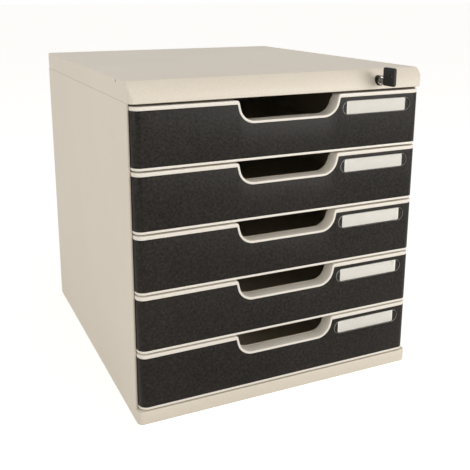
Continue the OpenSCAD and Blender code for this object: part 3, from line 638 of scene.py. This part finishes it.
def tablet(half_w, half_h, soft, y, count=9):
    """A rectangle with corners of radius soft, at depth y: its top chain from left to right and
    its bottom chain back. Where soft is as large as half_h, it is a stadium."""
    a = np.linspace(np.pi, np.pi / 2, count)
    left = np.stack([-half_w + soft + soft * np.cos(a), half_h - soft + soft * np.sin(a)], -1)
    top = np.vstack([left, left[::-1] * [-1, 1]])
    ring = np.vstack([top, top[::-1] * [1, -1]])
    x, z = window_mid[0] + ring[:, 0], window_z + ring[:, 1]
    return np.column_stack([x, np.full(len(ring), y), z])


pocket_half = window_half + gap
pocket_ys = y_front - over, y_front + pocket_d
pocket = skin(np.array([tablet(*pocket_half, pocket_half[1], y) for y in pocket_ys]))
print("pocket, mm:", (2 * pocket_half).round(2), "deep", round(float(pocket_d), 2))

# %% Window and card shapes
# The window's back rests on the card, and its front edge is well rounded
window_r = 0.8
window_rows = [(0.0, card_low[1]), (0.0, window_low[1] + window_r)]
window_rows += [(near, window_low[1] + low) for near, low in rounding(window_r, 6)[1:]]
window_skin = skin(np.array([tablet(*(window_half - near), window_half[1] - near, y)
                             for near, y in window_rows]))

# The card's corners are small arcs, and its front edge is eased a little
card_half, card_r = (card_high - card_low)[[0, 2]] / 2, 1.2
card_rows = [(0.0, card_high[1] - 0.01), (0.0, card_low[1] + 0.02), (0.04, card_low[1])]
card_skin = skin(np.array([tablet(*(card_half - near), card_r, y, 5) for near, y in card_rows]))
print("window, mm:", (window_high - window_low).round(2), "card:", (card_high - card_low).round(2))

# %% Five fronts
for i in range(1, 6):
    up = np.array([0, 0, box_mm(f"drawer_front_{i}")[0][2]])
    body = f"drawer_{i}"
    piece(f"Front_frame_{i}", [(frame_points + up, frame_faces)],
          FRONT_BEIGE, body, f"drawer_front_{i}")
    panel = piece(f"Front_panel_{i}", [(panel_points + up, panel_faces)],
                  PANEL_BLACK, body, f"front_panel_{i}")
    carve(panel, pocket[0] + up, pocket[1])
    piece(f"Label_window_{i}", [(window_skin[0] + up, window_skin[1])],
          CLEAR, body, f"label_window_{i}")
    piece(f"Label_card_{i}", [(card_skin[0] + up, card_skin[1])],
          PAPER, body, f"label_card_{i}")
    print(body, "starts at a height of", round(float(up[2]), 2), "mm")

# %% [markdown]
# ## Softened CAD parts
# Many parts have the right shape already and only look too sharp: the walls, the trays, the rails,
# the lock. Their CAD mesh is loose triangles and may not be touched, so a copy is merged, its
# flat faces are joined again, and a Bevel modifier rounds the edges as the mould would.

# %% Softened copies
def softened(node, finish, body, width_mm, segments=3):
    """A merged copy of a CAD node's mesh with its edges bevelled, named as the node is."""
    obj = bpy.data.objects.new(node.capitalize(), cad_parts[node].data.copy())
    bpy.context.collection.objects.link(obj)
    work = bmesh.new()
    work.from_mesh(obj.data)
    bmesh.ops.remove_doubles(work, verts=work.verts, dist=0.001 * MM)
    bmesh.ops.dissolve_limit(work, angle_limit=radians(0.5), verts=work.verts, edges=work.edges)
    work.to_mesh(obj.data)
    work.free()
    obj.data.materials.clear()
    obj.data.materials.append(finish)
    obj.data.shade_smooth()
    bevel = obj.modifiers.new("Moulded edges", "BEVEL")
    bevel.width, bevel.segments = width_mm * MM, segments
    bevel.limit_method, bevel.angle_limit = "ANGLE", radians(30)
    bevel.harden_normals = True
    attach(obj, body)
    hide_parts(node)


bevels = {"base": 0.6, "side_wall_left": 0.5, "side_wall_right": 0.5, "back_panel": 0.5,
          "runners_left": 0.3, "runners_right": 0.3, "lock_bar_guides": 0.3}
for node, width in bevels.items():
    softened(node, CASE_BEIGE, "casing", width)
softened("anti_slip_pads", PAD_RUBBER, "casing", 0.5)
softened("lid_screws", ZINC, "casing", 0.2)
softened("lock_clip", ZINC, "casing", 0.15)
for i in range(1, 6):
    softened(f"drawer_tray_{i}", SHADED_TRAY_BEIGE, f"drawer_{i}", 0.6)
    softened(f"tray_rails_{i}", SHADED_TRAY_BEIGE, f"drawer_{i}", 0.3)

# %% [markdown]
# ## Lock and key
# The lock is a cam lock: a black-plated barrel in the lid's front, with a nickel core that the key
# turns. The barrel is a profile carried round the lock's axis.

# %% Barrel
barrel_low, barrel_high = box_mm("lock_barrel")
clip_low, clip_high = box_mm("lock_clip")
lock_x, lock_z = (barrel_low[0] + barrel_high[0]) / 2, (barrel_low[2] + barrel_high[2]) / 2
barrel_r, bore_r = (barrel_high[0] - barrel_low[0]) / 2, 3.65


def lathe(profile, turns=48):
    """A closed profile of (radius, y) pairs carried round the lock's axis."""
    t = np.linspace(0, 2 * np.pi, turns, endpoint=False)[:, None]
    r, y = np.array(profile).T
    points = np.stack([lock_x + r * np.cos(t), y + 0 * t, lock_z + r * np.sin(t)], -1)
    n = len(r)
    j, after = np.arange(n), (np.arange(n) + 1) % n
    row = np.arange(turns)[:, None] * n
    beyond = (row + n) % (turns * n)
    faces = np.stack([row + j, row + after, beyond + after, beyond + j], -1)
    return points.reshape(-1, 3), faces.reshape(-1, 4)


# The profile: the round front edge, the eased mouth of the bore, the back and the clip's groove
nose_soft, bore_soft, tail_soft, groove_deep = 0.7, 0.25, 0.2, 0.7
groove_r, tail_y = barrel_r - groove_deep, barrel_high[1]
nose = [(barrel_r - near, barrel_low[1] + low) for near, low in rounding(nose_soft, 5)]
throat = [(bore_r + near, barrel_low[1] + low) for near, low in rounding(bore_soft, 3)[::-1]]
tail = [(bore_r, tail_y), (barrel_r - tail_soft, tail_y), (barrel_r, tail_y - tail_soft)]
groove = [(barrel_r, clip_high[1]), (groove_r, clip_high[1]),
          (groove_r, clip_low[1]), (barrel_r, clip_low[1])]
piece("Lock_barrel", [lathe(nose + throat + tail + groove)],
      BLACK_CHROME, "casing", "lock_barrel")
print("barrel, mm:", round(float(2 * barrel_r), 2), "at x, z:", round(float(lock_x), 1),
      round(float(lock_z), 1))

# %% The rest of the lock, and the key
softened("lock_core", NICKEL, "lock_core", 0.12)
softened("lock_cam", ZINC, "lock_core", 0.15)
softened("lock_cam_screw", ZINC, "lock_core", 0.12)
for node in ("lock_bar", "lock_bar_arm", "lock_bar_hooks"):
    softened(node, ZINC, "lock_bar", 0.2)
softened("key_blade", NICKEL, "key", 0.15)
softened("key_head", HEAD_BLACK, "key", 0.8, 4)
head_low, head_high = box_mm("key_head")
print("key's head, mm:", (head_high - head_low).round(1).tolist())
